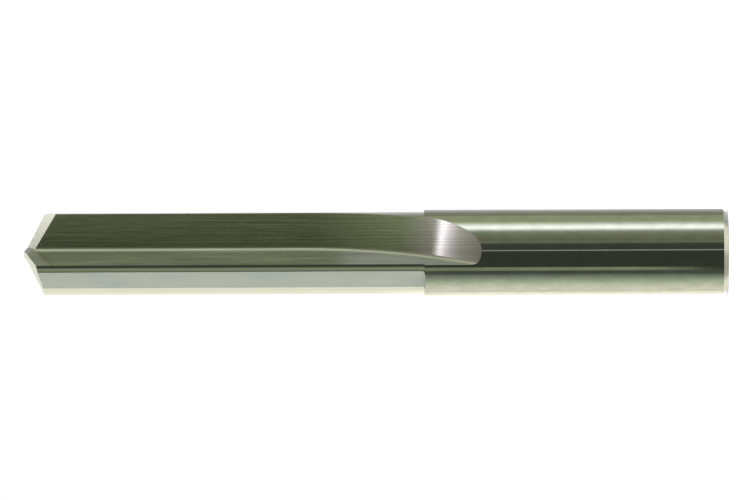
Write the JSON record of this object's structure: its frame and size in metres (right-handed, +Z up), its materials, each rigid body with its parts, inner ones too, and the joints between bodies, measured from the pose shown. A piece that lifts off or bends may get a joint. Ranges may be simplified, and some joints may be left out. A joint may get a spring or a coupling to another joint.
{
  "type": "straight flute drill bit",
  "caption": "One-piece straight-flute drill: plain round shank, slightly thinner fluted body with flat-relieved lands, and a thinned, faceted point.",
  "frame": {"origin": "centre of the flat end face of the shank, on the drill's axis", "axes": "+Z along the axis from the shank end to the point; the first cutting edge lies to -Y and cuts towards +X; +Z is up as the drill stands on its shank end"},
  "size_m": [0.01, 0.01, 0.0821],
  "materials": {
    "carbide": "ground and polished bright metal, with fine lengthwise grinding marks in the flutes"
  },
  "bodies": {
    "root": {"drill_bit": "carbide"}
  },
  "joints": []
}
